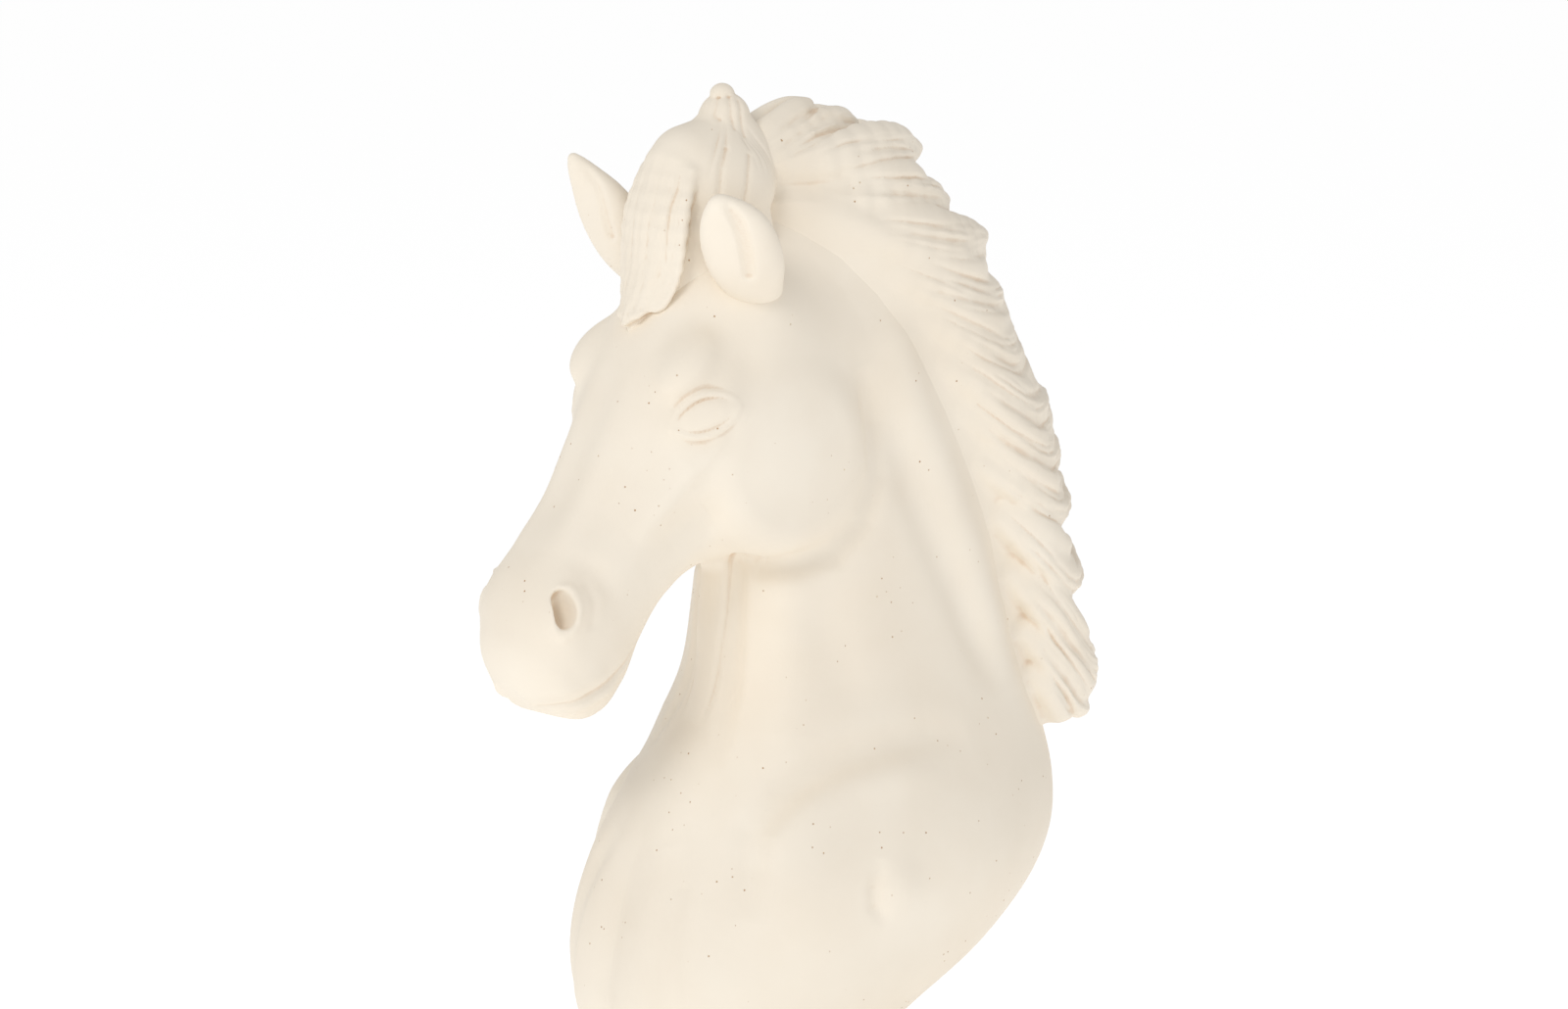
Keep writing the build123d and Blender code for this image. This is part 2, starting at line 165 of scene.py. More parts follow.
def snapped(clay, points, spacing=5.0):
    """Points laid on the clay's surface, close together along their line."""
    points = np.array(points, float)
    laid = [points[0]]
    for a, b in zip(points[:-1], points[1:]):
        count = max(1, int(np.ceil(np.linalg.norm(b[:3] - a[:3]) / spacing)))
        laid += [a + (b - a) * k / count for k in range(1, count + 1)]
    laid = np.array(laid)
    for _ in range(8):
        at = (laid[:, :3] - clay.low) / clay.step
        i = np.clip(at.astype(int), 1, np.array(clay.d.shape) - 3)
        f = np.clip(at - i, 0, 1)

        def value(dx, dy, dz):
            return clay.d[i[:, 0] + dx, i[:, 1] + dy, i[:, 2] + dz]
        here = sum(value(a, b, c) * (f[:, 0] if a else 1 - f[:, 0]) * (f[:, 1] if b else 1 - f[:, 1])
                   * (f[:, 2] if c else 1 - f[:, 2]) for a in (0, 1) for b in (0, 1) for c in (0, 1))
        slope = np.stack([value(1, 0, 0) - value(-1, 0, 0), value(0, 1, 0) - value(0, -1, 0),
                          value(0, 0, 1) - value(0, 0, -1)], 1)
        slope /= np.maximum(np.linalg.norm(slope, axis=1), 1e-6)[:, None]
        laid[:, :3] -= slope * np.clip(here, -12, 12)[:, None] * 0.8
    laid[:, 0] = np.maximum(laid[:, 0], 0)
    return laid


def press(clay, points, width, depth, spacing=5.0):
    """Draws a finger along a line: a groove of that depth, or a ridge if it is negative. A point may
    carry its own share of the depth as a fourth number."""
    points = [tuple(p) if len(p) == 4 else (*p, 1.0) for p in points]
    line = snapped(clay, points, spacing)
    reach = 2.6 * width
    low, high = line[:, :3].min(0) - reach, line[:, :3].max(0) + reach
    if low[0] < reach:
        low[0] = -high[0]

    def shape(x, y, z):
        near, share = None, None
        for a, b in zip(line[:-1], line[1:]):
            e = b[:3] - a[:3]
            px, py, pz = x - a[0], y - a[1], z - a[2]
            t = np.clip((px * e[0] + py * e[1] + pz * e[2]) / max(e @ e, 1e-6), 0, 1)
            gap = (px - t * e[0])**2 + (py - t * e[1])**2 + (pz - t * e[2])**2
            part = a[3] + (b[3] - a[3]) * t
            if near is None:
                near, share = gap, part
            else:
                closer = gap < near
                near, share = np.where(closer, gap, near), np.where(closer, part, share)
        return depth * share * np.exp(-near / width**2)
    clay.put(shape, lambda d, push, _: (d + push).astype(np.float32), 0, low, high)


def swell(clay, centre, radii, height, turn=0.0):
    """A soft bump, or a hollow if the height is negative; turn tips its length in side view."""
    centre = snapped(clay, [(*centre, 1.0)] * 2)[0][:3]
    reach = 2.4 * max(radii)
    c, s = np.cos(np.radians(turn)), np.sin(np.radians(turn))

    def shape(x, y, z):
        px, py, pz = x - centre[0], y - centre[1], z - centre[2]
        qy, qz = c * py + s * pz, -s * py + c * pz
        return height * np.exp(-((px / radii[0])**2 + (qy / radii[1])**2 + (qz / radii[2])**2))
    low, high = centre - reach, centre + reach
    if low[0] < reach:
        low[0] = -high[0]
    clay.put(shape, lambda d, push, _: (d - push).astype(np.float32), 0, low, high)


def disc(clay, centre, radius, half, edge, soft):
    """A round slab whose axis points sideways, with a rounded edge."""
    reach = radius + 2 * soft

    def shape(x, y, z):
        out = np.maximum(np.sqrt((y - centre[1])**2 + (z - centre[2])**2) - (radius - edge), 0)
        side = np.maximum(np.abs(x - centre[0]) - (half - edge), 0)
        return np.sqrt(out**2 + side**2) - edge
    low, high = np.array(centre) - reach, np.array(centre) + reach
    low[0] = -high[0]
    clay.put(shape, join, soft, low, high)


def skin(clay, name):
    """The zero surface of the field as a mesh, in metres."""
    grid = openvdb.FloatGrid(50.0)
    grid.copyFromArray(np.ascontiguousarray(clay.d))
    points, triangles, quads = grid.convertToPolygons(0.0, 0.0)
    points = (points * clay.step + clay.low) / 1000
    faces = [tuple(int(v) for v in f) for f in quads] + [tuple(int(v) for v in f) for f in triangles]
    mesh = bpy.data.meshes.new(name)
    mesh.from_pydata(points.tolist(), [], faces)
    mesh.validate()
    return mesh

# %% [markdown]
# ## The horse's body: neck, chest and head
# On the real piece the bust is one smooth volume that a modeller built up in clay before the mould
# was taken. Here it starts from two stacks of egg-shaped slices, one up the neck and one along the
# head, with the same sizes as the CAD shells.

# %% Neck and head slices
# height, front, back, half width, where it is widest
NECK = smooth_table([
    (166, -112, -30, 36, -65), (180, -146, 30, 84, -40), (200, -162, 76, 106, -30),
    (218, -166, 104, 117, -20), (245, -164, 149, 128, -5), (275, -157, 185, 134, 5),
    (320, -142, 214, 136, 20), (365, -122, 222, 127, 40), (411, -96, 219, 109, 50),
    (455, -75, 213, 91, 50), (510, -67, 210, 78, 45), (570, -60, 205, 72, 40),
    (630, -50, 192, 67, 30), (690, -50, 165, 62, 15), (745, -55, 133, 54, 5),
    (795, -60, 90, 42, -5), (825, -45, 40, 20, -8),
])
# distance along the head, top, bottom, half width, height of the widest place
HEAD = smooth_table([
    (-32, 52, -42, 26, 0), (-5, 92, -86, 50, 0), (35, 111, -108, 66, 0), (80, 106, -119, 75, 10),
    (125, 96, -114, 76, 25), (165, 82, -90, 68, 22), (205, 69, -60, 57, 15),
    (245, 58, -49, 50, 10), (280, 56, -57, 49, 10), (312, 52, -67, 50, 4), (338, 40, -63, 47, -6),
    (358, 24, -47, 37, -12), (370, 6, -24, 18, -12),
])
HEAD_ROOT = np.array([0.0, 10.0, 735.0])
DIAG = np.sqrt(0.5)                      # the head's axis points 45 degrees below the horizon


def on_head(x, s, u):
    """A point from head measures: sideways, along the head, up from its axis."""
    return (x, HEAD_ROOT[1] - DIAG * (s + u), HEAD_ROOT[2] + DIAG * (u - s))


def egg(w, a, half, front, back, widest):
    reach = np.where(a < widest, widest - front, back - widest)
    rho = (np.abs(w / half)**2.2 + np.abs((a - widest) / reach)**2.2)**(1 / 2.2)
    return (rho - 1) * np.minimum(half, reach)


def neck_shape(x, y, z):
    front, back, half, widest = look_up(NECK, z)
    side = egg(x, y, half, front, back, widest)
    return np.maximum(side, np.maximum(z - 825, 166 - z)).astype(np.float32)


def head_shape(x, y, z):
    dy, dz = y - HEAD_ROOT[1], z - HEAD_ROOT[2]
    s, u = -(dy + dz) * DIAG, (dz - dy) * DIAG
    top, bottom, half, widest = look_up(HEAD, s)
    side = egg(x, u, half, bottom, top, widest)
    return np.maximum(side, np.maximum(s - 370, -32 - s)).astype(np.float32)


bust = Clay((-4 * STEP, -275, 160), (150, 240, 868), STEP)
bust.put(neck_shape, join, 4, [-1e4] * 3, [1e4] * 3)
bust.put(head_shape, join, 9, [-1e4] * 3, [1e4] * 3)
print("bust grid", bust.d.shape)

# %% [markdown]
# ## Muscles of the neck and chest
# The chest of the carved horse has a full breast muscle on each side of a soft cleft, and the
# shoulder stands out behind it with a fold on top and a small dimple at the elbow. Along the throat
# runs the windpipe with the jugular groove behind it. Each is a lump or a rope of clay, blended wide.

# %% Neck and chest muscles
swell(bust, (42, -130, 275), (44, 44, 66), 9, turn=-10)
swell(bust, (98, -70, 330), (34, 40, 62), 9, turn=14)
swell(bust, (118, 60, 330), (60, 100, 66), 10, turn=-8)
swell(bust, (60, 190, 330), (60, 60, 90), 6)
press(bust, [(34, -126, 345, 0.2), (48, -138, 318), (52, -144, 290), (56, -150, 255), (58, -150, 225),
             (56, -144, 196, 0.6)], 13, 7)
swell(bust, (0, -106, 396), (34, 24, 34), 6)
press(bust, [(0, -132, 320, 0), (0, -150, 270), (0, -160, 200)], 14, 3)
press(bust, [(96, -108, 300, 0), (92, -100, 335), (84, -91, 360), (87, -68, 385), (94, -42, 403),
             (100, -15, 411), (105, 19, 417), (106, 55, 418, 0.8), (104, 90, 414, 0)], 13, 7)
press(bust, [(98, -84, 345, 0.2), (102, -52, 372), (108, -22, 388), (113, 19, 392),
             (112, 60, 390, 0)], 14, -4)
press(bust, [(130, -14, 338, 0), (133, -22, 319), (134, -22, 306), (136, -12, 290, 0)], 6, 4.5)
swell(bust, (134, -2, 318), (18, 16, 20), 5)
press(bust, [(0, -60, 548), (0, -68, 500, 0.8), (0, -74, 460, 0.5), (0, -84, 425, 0)], 18, -7)
press(bust, [(20, -60, 560), (22, -62, 520), (25, -67, 480), (31, -78, 440, 0.8), (42, -92, 400, 0)], 7, 6)
press(bust, [(18, -62, 556), (17, -66, 510), (14, -73, 465), (12, -82, 425, 0)], 2.6, 2.6)
press(bust, [(52, -36, 562), (54, -38, 520), (60, -42, 470), (72, -52, 425), (84, -64, 395, 0)], 20, -3)
press(bust, [(62, 24, 690, 0.3), (65, 41, 655), (68, 62, 610), (71, 83, 564), (73, 106, 518),
             (79, 125, 472), (88, 138, 434, 0)], 16, 6)
press(bust, [(66, -2, 540, 0), (70, -12, 502), (82, -6, 459), (95, 0, 430, 0)], 20, 3)
press(bust, [(56, 60, 705), (62, 80, 650), (66, 104, 600), (68, 126, 548), (74, 146, 490),
             (86, 160, 430, 0)], 17, -6)
print("neck and chest muscles pressed")

# %% [markdown]
# ## Skull and muzzle
# The cheek is a flat disc with a crisp rear edge that throws a shadow on the neck. Above the eye the
# brow stands out, behind it lies a hollow, and a long bone runs from the eye towards the nostril.

# %% Skull
disc(bust, (38, -49, 629), 73, 36, 24, soft=12)
press(bust, [(32, -79, 556, 0), (40, -52, 546, 0.6), (55, -32, 548), (67, -4, 555), (71, 20, 578),
             (71, 34, 610), (68, 36, 648), (62, 26, 690, 0)], 9, 8)
swell(bust, on_head(74, 112, -20), (40, 60, 54), 6, turn=45)
bust.ball(on_head(56, 124, 77), (16, 24, 12), soft=18, turn=45)
swell(bust, on_head(74, 94, 46), (20, 15, 14), -3, turn=45)
swell(bust, (64, -62, 742), (28, 28, 24), 9)
press(bust, [on_head(64, 150, 24) + (0.4,), on_head(60, 176, 26), on_head(53, 206, 22),
             on_head(48, 240, 18) + (0,)], 9, -5)
press(bust, [on_head(66, 160, -12) + (0.2,), on_head(58, 188, -8), on_head(52, 220, -6),
             on_head(48, 256, -4) + (0.2,)], 14, 6)
press(bust, [on_head(20, 150, 90) + (0.3,), on_head(20, 200, 68), on_head(22, 250, 56),
             on_head(24, 285, 54) + (0.3,)], 12, -3.5)
press(bust, [on_head(48, 170, 66) + (0.2,), on_head(42, 205, 54), on_head(38, 240, 44),
             on_head(38, 270, 42) + (0.1,)], 10, 3)
press(bust, [on_head(56, 200, -38) + (0.2,), on_head(46, 240, -36), on_head(42, 280, -38) + (0.2,)], 14, -3)
print("skull shaped")

# %% [markdown]
# ## Eye
# A carved almond: a smooth ball between two raised lid rims that meet in pointed corners. The rim is
# a thin rope and the ball is pressed back a little, so the rim catches the light.

# %% Eye
def eye_line(lift_by, from_t=0.0, to_t=1.0, count=13, fade=0.35):
    """A line across the eye from its rear corner to its front one; lift_by gives its height."""
    line = []
    for t in np.linspace(from_t, to_t, count):
        end = min(1.0, fade + (1 - fade) * 4 * min(t, 1 - t))
        lift = lift_by(t)
        line.append((77 - 15 * t, -103 - 47 * t - 0.30 * lift, 673 - 14 * t + 0.95 * lift, end))
    return line


def upper_lid(t):
    return 16.0 * np.sin(np.pi * t**0.92)**0.72


def lower_lid(t):
    return -11.5 * np.sin(np.pi * t**1.08)**0.8


press(bust, eye_line(lambda t: 1.5, 0.15, 0.85, fade=0.6), 13, -6)
press(bust, eye_line(lambda t: upper_lid(t) * 0.80), 2.3, 2.6)
press(bust, eye_line(lambda t: lower_lid(t) * 0.76), 2.3, 2.2)
press(bust, eye_line(upper_lid), 2.4, -4.2)
press(bust, eye_line(lower_lid), 2.3, -4.2)
press(bust, eye_line(lambda t: upper_lid(t) + 6.0, 0.0, 0.9, fade=0.1), 3.2, 0.9)
press(bust, eye_line(lambda t: lower_lid(t) - 6.0, 0.05, 0.95, fade=0.1), 3.4, 1.2)
print("eye carved")

# %% [markdown]
# ## Nostril and mouth
# The nostril is a drop-shaped hole, deepest at its lower front, inside a raised soft rim. The mouth
# is only a fine line that follows the lower lip round to its corner.

# %% Nostril and mouth
swell(bust, on_head(46, 312, 28), (22, 26, 20), 6, turn=45)
swell(bust, on_head(48, 278, 26), (20, 10, 20), -3, turn=45)
nose = np.array(on_head(47, 314, 31))
around = np.linspace(0, 2 * np.pi, 13)
rim = [nose + (0, 10.5 * np.cos(a), 17.5 * np.sin(a) + 2 * np.cos(a)) for a in around]
press(bust, rim, 3.8, -3.0)
bust.ball(nose + (0, 0.5, -2), (15, 7.4, 11.5), carve, soft=3, turn=-6)
bust.ball(nose + (0, -0.5, 6), (13, 5.4, 9.0), carve, soft=4, turn=-6)
press(bust, [nose + (0, 20, 16, ), nose + (4, 24, 4), nose + (4, 21, -10)], 5, 1.6)
lips = [on_head(10, 371, -16) + (0.0,), on_head(20, 369, -18) + (0.6,), on_head(34, 358, -24),
        on_head(43, 342, -33), on_head(45, 324, -41), on_head(42, 306, -47), on_head(36, 290, -50) + (0.4,)]
press(bust, lips, 2.4, 3.2)
press(bust, [on_head(10, 368, -28) + (0,), on_head(20, 364, -30) + (0.7,), on_head(36, 352, -38),
             on_head(42, 334, -46), on_head(40, 314, -54) + (0,)], 5, -2.5)
press(bust, [on_head(8, 374, -5) + (0,), on_head(20, 372, -6) + (0.7,), on_head(38, 358, -12),
             on_head(46, 340, -22), on_head(48, 320, -30) + (0,)], 6, -2.2)
swell(bust, on_head(10, 346, -62), (26, 20, 12), 4, turn=45)
print("nostril and mouth carved")

# %% [markdown]
# ## Hair
# Carved hair has two layers. The mass of it lies on the body like a thick cloth that thins out to
# nothing at its front edge, and tufts of hair stand out of that mass and end in blunt tips. Over both
# the modeller drew fine strands with a wire tool. Three tools make them here: `drape` lays the cloth,
# `tuft` adds a flat tapered rope that bends on its way, and `press` draws the strands.

# %% Hair tools
def distance_to(clay, under):
    """How far each of the clay's grid points is from another clay's surface."""
    field, beyond = under.d, []
    for i, axis in enumerate(clay.axes):
        at = ((np.abs(axis) if i == 0 else axis) - under.low[i]) / under.step
        inside = np.clip(at, 0, under.d.shape[i] - 1.001)
        beyond.append(((at - inside) * under.step)**2)
        cell = inside.astype(int)
        share = (inside - cell).astype(np.float32).reshape([-1 if j == i else 1 for j in range(3)])
        field = np.take(field, cell, i) * (1 - share) + np.take(field, cell + 1, i) * share
    x, y, z = beyond
    outside = np.sqrt(x[:, None, None] + y[None, :, None] + z[None, None, :])
    return field + 1.3 * outside.astype(np.float32)


def rise(a):
    """Goes smoothly from 0 to 1."""
    a = np.clip(a, 0, 1)
    return a * a * (3 - 2 * a)


def drape(clay, under, thickness, soft=6.0):
    """Lays a cloth over another clay; thickness gives how thick it is at x, y, z."""
    _, x, y, z = clay.whole()
    cloth = distance_to(clay, under) - thickness(np.abs(x), y, z)
    clay.d = join(clay.d, cloth.astype(np.float32), soft).astype(np.float32)


def tuft(clay, path, facing, how=join, soft=6.0, pieces=12):
    """A flat rope; path rows are x, y, z, half width, half thickness."""
    line = smooth_table([(i, *p) for i, p in enumerate(path)], pieces + 1)[1]
    facing = np.array(facing, float)
    reach = line[:, 3].max() + 3 * soft
    low, high = line[:, :3].min(0) - reach, line[:, :3].max(0) + reach
    if low[0] < reach:
        low[0] = -high[0]

    def shape(x, y, z):
        best = None
        for a, b in zip(line[:-1], line[1:]):
            e = b[:3] - a[:3]
            length = max(np.linalg.norm(e), 1e-6)
            e = e / length
            v = np.cross(facing, e)
            v /= max(np.linalg.norm(v), 1e-6)
            n = np.cross(e, v)
            px, py, pz = x - a[0], y - a[1], z - a[2]
            run = px * e[0] + py * e[1] + pz * e[2]
            t = np.clip(run / length, 0, 1)
            over = run - t * length
            side = px * v[0] + py * v[1] + pz * v[2]
            up = px * n[0] + py * n[1] + pz * n[2]
            w, h = a[3] + (b[3] - a[3]) * t, a[4] + (b[4] - a[4]) * t
            end = (w + h) / 2
            gap = (np.sqrt((side / w)**2 + (up / h)**2 + (over / end)**2) - 1) * np.minimum(w, h)
            best = gap if best is None else join(best, gap, 2.5)
        return best.astype(np.float32)
    clay.put(shape, how, soft, low, high)


FAN_STEPS = 30          # how finely a line of hair is followed


def fan(rows, row, share):
    """A point of the hair between neighbouring lines: which line, and how far along it."""
    rows = np.array(rows, float)
    low = int(np.clip(np.floor(row), 0, len(rows) - 2))
    a, b = (smooth_table([(i, *p) for i, p in enumerate(rows[k])], FAN_STEPS + 1)[1]
            for k in (low, low + 1))
    line = a + (b - a) * (row - low)
    return np.array([np.interp(share * FAN_STEPS, range(FAN_STEPS + 1), line[:, c]) for c in range(3)])


# %% [markdown]
# ## Mane
# The mane stands on a thick crest along the back of the neck. Its front edge fades into the side of
# the neck, and its tufts sweep back to blunt tips. Both sides of the neck carry the same locks.

# %% Mane
mane = Clay((-4 * FINE, -90, 378), (104, 290, 908), FINE)
mane.rope([(0, -56, 828), (0, -20, 834), (0, 30, 828), (0, 80, 802), (0, 120, 762), (0, 146, 710),
           (0, 164, 660), (0, 180, 605), (0, 190, 545), (0, 196, 490), (0, 200, 436)],
          [30, 35, 37, 38, 42, 46, 48, 50, 52, 52, 42])
FRONT_EDGE = np.array([                  # height, how far back the mane begins
    (384, 182), (400, 168), (430, 156), (470, 148), (510, 138), (550, 130), (600, 108), (650, 84),
    (700, 54), (740, 24), (770, -10), (790, -44), (812, -84), (910, -100)], float)


def mane_thickness(x, y, z):
    behind = y - np.interp(z, FRONT_EDGE[:, 0], FRONT_EDGE[:, 1])
    above = rise((z - 392) / 14)
    return 25 * rise(behind / 95) * above - 3.5


drape(mane, bust, mane_thickness)
LONG = [
    [(8, -62, 836), (12, -36, 854), (10, -4, 870), (2, 20, 880)],
    [(18, -60, 830), (26, -26, 850), (18, 28, 864), (3, 62, 863)],
    [(26, -66, 826), (40, -14, 840), (32, 66, 848), (4, 122, 842)],
    [(32, -58, 806), (49, 10, 816), (40, 92, 812), (10, 145, 802)],
    [(38, -38, 788), (55, 40, 790), (46, 126, 776), (6, 186, 773)],
    [(42, -4, 772), (57, 68, 756), (48, 148, 730), (6, 200, 729)],
    [(46, 24, 744), (60, 96, 720), (50, 168, 688), (8, 210, 692)],
    [(48, 46, 712), (62, 116, 682), (54, 190, 640), (8, 246, 647)],
    [(50, 64, 680), (63, 134, 644), (56, 204, 606), (9, 252, 619)],
    [(51, 84, 646), (66, 150, 602), (58, 216, 566), (12, 260, 581)],
    [(52, 102, 608), (67, 166, 560), (62, 224, 512), (22, 262, 526)],
    [(53, 120, 566), (68, 180, 514), (68, 234, 450), (46, 262, 428)],
    [(56, 138, 524), (72, 188, 468), (72, 226, 422), (54, 246, 412)],
    [(60, 154, 482), (76, 192, 436), (74, 208, 416), (62, 218, 410)],
]
SIZES = [(11, 8), (14, 10), (19, 12), (15, 11), (19, 12), (16, 11), (14, 10), (16, 11), (13, 10), (14, 10),
         (17, 12), (20, 12), (16, 11), (12, 9)]    # half width and half thickness of each tuft
for line, (wide, thick) in zip(LONG, SIZES):
    line = [fan([line, line], 0, t) for t in (0.30, 0.45, 0.62, 0.80, 0.92, 1.0)]
    line[0] = line[0] - [8, 0, 0]
    shares = (0.4, 0.85, 1.0, 0.9, 0.6, 0.3)
    tuft(mane, [(*p, wide * s, thick * max(s, 0.5)) for p, s in zip(line, shares)], (1, 0.15, 0.42), soft=9)
rng = np.random.default_rng(7)
for k in range(2, 12):
    row = k + 0.35 + 0.3 * rng.random()
    stop = 0.68 + 0.12 * rng.random()
    line = [fan(LONG, row, stop * t) + [out, 0, 0]
            for t, out in ((0.5, -6), (0.68, 4), (0.85, 6), (1.0, 6))]
    tuft(mane, [(*p, 10 * s, 7 * s) for p, s in zip(line, (0.5, 1.0, 0.85, 0.4))], (1, 0.15, 0.42), soft=6)


def strands(clay, rows, count, low, high, width, depth, seed, long=0.4, shift=(9, 0, 0)):
    """Fine lines drawn with the run of the hair; they gather towards the tips of the tufts."""
    rng = np.random.default_rng(seed)
    for _ in range(count):
        row = low + (high - low) * rng.random()
        start = 0.30 + 0.45 * rng.random()
        stop = min(0.985, start + long * (0.4 + 0.6 * rng.random()))
        wave, turn = 0.12 * rng.random(), 6.3 * rng.random()
        home = np.round(row)
        line = []
        for t in np.linspace(start, stop, 6):
            near = home + (row - home) * (1 - 0.72 * t**2) + wave * np.sin(5 * t + turn)
            near = np.clip(near, 0, len(rows) - 1)
            end = min(1.0, 6 * (t - start) + 0.15, 6 * (stop - t) + 0.15)
            line.append((*(fan(rows, near, t) + shift), end))
        deep = depth * (0.5 + 0.8 * rng.random())
        press(clay, line, width * (0.8 + 0.5 * rng.random()), deep, spacing=9)


strands(mane, LONG, 260, 0, 13, 1.8, 1.6, seed=3, long=0.45)
strands(mane, LONG, 20, 0, 13, 3.2, 2.8, seed=5, long=0.5)
print("mane grid", mane.d.shape)

# %% [markdown]
# ## Forelock and topknot
# The forelock is a cloth of hair that falls from the topknot over the forehead and ends in one point
# above the nose. The topknot stands up like a small flame between the ears. Behind the left ear a
# flat strap of hair comes out from under the rest.

# %% Forelock
forelock = Clay((-4 * FINE, -175, 700), (80, 20, 908), FINE)
forelock.rope([(0, -44, 838), (0, -66, 842), (0, -86, 838), (0, -96, 806), (0, -104, 770), (0, -114, 745)],
              [30, 32, 31, 30, 25, 14])
forelock.rope([(0, -50, 850), (0, -55, 872), (0, -57, 888)], [27, 19, 9.5], soft=8)
forelock.ball((26, -68, 822), (24, 34, 30), soft=18)


def forelock_thickness(x, y, z):
    hem = 710 + 0.95 * x
    over = rise((z - hem) / (34 + 0.8 * x)) * rise((74 - x) / 30) * rise((-34 - y) / 14)
    return 14 * over - 3.5 + 5 * rise((z - 765) / 40) * over


drape(forelock, bust, forelock_thickness)
FALL = [[(0.25 * x, -62, 872 - 0.01 * x * x), (0.75 * x, -98, 862 - 0.02 * x * x),
         (x, -124 + 0.012 * x * x, 826), (x, -130 + 0.010 * x * x, 786), (0.9 * x, -136 + 0.012 * x * x, 756),
         (0.62 * x, -148 + 0.016 * x * x, 724 + 0.5 * x)] for x in (0, 7, 14, 21, 28, 35, 42, 49)]
for k in (0, 2, 4):
    line = [fan(FALL, k + 0.3, t) for t in (0.3, 0.5, 0.7, 0.88, 0.98)]
    tuft(forelock, [(*p, 7 * s, 4 * s) for p, s in zip(line, (0.6, 1, 1, 0.7, 0.3))],
         (0.35, -1, 0.1), soft=7)
strands(forelock, FALL, 80, 0, 5, 1.6, 1.2, seed=11, long=0.5, shift=(0, -6, 2))
strands(forelock, FALL, 5, 0, 4, 2.6, 2.2, seed=12, long=0.6, shift=(0, -6, 2))
STRAP = np.array([(33, -70, 846), (37, -76, 834), (40, -80, 820), (40, -82, 806)], float)
press(forelock, STRAP + [5, 7, 0], 2.2, 2.6)
press(forelock, STRAP - [5, 7, 0], 2.2, 2.6)
for back in (-26, -14, 8, 14, 20, 26, 32):
    press(forelock, [(10, -60 + 0.2 * back, 868, 0), (24, -66 + 0.6 * back, 852),
                     (36, -70 + back, 828, 0)], 1.7, 1.5)
for x, y in ((4, -62), (9, -58), (14, -52)):
    press(forelock, [(x, y, 886), (1.4 * x, y - 2, 874), (2 * x, y - 4, 862)], 1.9, 1.8)
print("forelock grid", forelock.d.shape)

# %% [markdown]
# ## Ears
# Each ear is a full leaf with a shallow dish in front and a deep narrow crease beside its rolled rear
# rim. The two ears are not mirror images: the far one is turned more to the front.

# %% Ears
def sculpt_ear(leaf, opens, crease, crease_depth, dish):
    clay = Clay((10, -172, 690), (128, -8, 868), FINE)
    tuft(clay, leaf, opens, soft=3, pieces=14)
    face = np.array(opens, float) / np.linalg.norm(opens)
    middle = np.array(leaf[len(leaf) // 2][:3], float) + face * 18
    swell(clay, middle, (17, 17, 30), -dish)
    press(clay, [(*(np.array(p, float) + face * 20), s) for p, s in zip(crease, (0.1, 0.6, 1, 1, 0.5))],
          3.1, crease_depth)
    return clay


NEAR_LEAF = [(46, -56, 746, 14, 14), (58, -73, 758, 21, 17), (68, -88, 775, 27, 19),
             (75, -101, 794, 26, 17), (80, -113, 809, 19, 12), (83, -122, 819, 9, 7)]
NEAR_CREASE = [(84, -108, 812), (84, -101, 800), (82, -95, 786), (79, -89, 770), (75, -85, 760)]
FAR_LEAF = [(48, -62, 740, 20, 17), (58, -92, 770, 25, 17), (66, -104, 790, 27, 17),
            (74, -114, 810, 24, 15), (80, -124, 829, 15, 11), (84, -130, 841, 6, 5)]
FAR_CREASE = [(68, -122, 834), (58, -116, 818), (54, -110, 800), (52, -104, 782)]
ear = sculpt_ear(NEAR_LEAF, (0.62, -0.78, 0.1), NEAR_CREASE, 17, 4)
far_ear = sculpt_ear(FAR_LEAF, (0.05, -0.98, 0.1), FAR_CREASE, 4, 6)
print("ear grid", ear.d.shape)

# %% [markdown]
# ## From clay to pieces
# The body is moulded in a left and a right half, so its mesh is cut at the middle plane. Each half is
# closed with a flat face there, which is where the real halves are bonded. The seam is filled and
# sanded on the real piece, so nothing of it shows.

# %% Mesh tools
def cleaned(name, node, mesh):
    """Turns a mesh into the visible piece that stands for a CAD node."""
    mesh.polygons.foreach_set("use_smooth", [True] * len(mesh.polygons))
    piece = bpy.data.objects.new(name, mesh)
    bpy.context.scene.collection.objects.link(piece)
    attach(piece, "piece")
    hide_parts(node)
    return piece


def biggest(bm):
    """Keeps only the largest connected part of a mesh."""
    bm.verts.ensure_lookup_table()
    seen, groups = set(), []
    for start in bm.verts:
        if start.index in seen:
            continue
        stack, group = [start], []
        seen.add(start.index)
        while stack:
            v = stack.pop()
            group.append(v)
            for e in v.link_edges:
                w = e.other_vert(v)
                if w.index not in seen:
                    seen.add(w.index)
                    stack.append(w)
        groups.append(group)
    groups.sort(key=len)
    bmesh.ops.delete(bm, geom=[v for g in groups[:-1] for v in g], context="VERTS")


def cut_at_middle(bm):
    """Keeps the +X side of a mesh and lays the rim of the cut flat on the middle plane."""
    geom = bm.verts[:] + bm.edges[:] + bm.faces[:]
    bmesh.ops.bisect_plane(bm, geom=geom, plane_co=(0, 0, 0), plane_no=(1, 0, 0), clear_inner=True)
    rim = [e for e in bm.edges if e.is_boundary]
    for edge in rim:
        for v in edge.verts:
            v.co.x = 0.0
    return rim


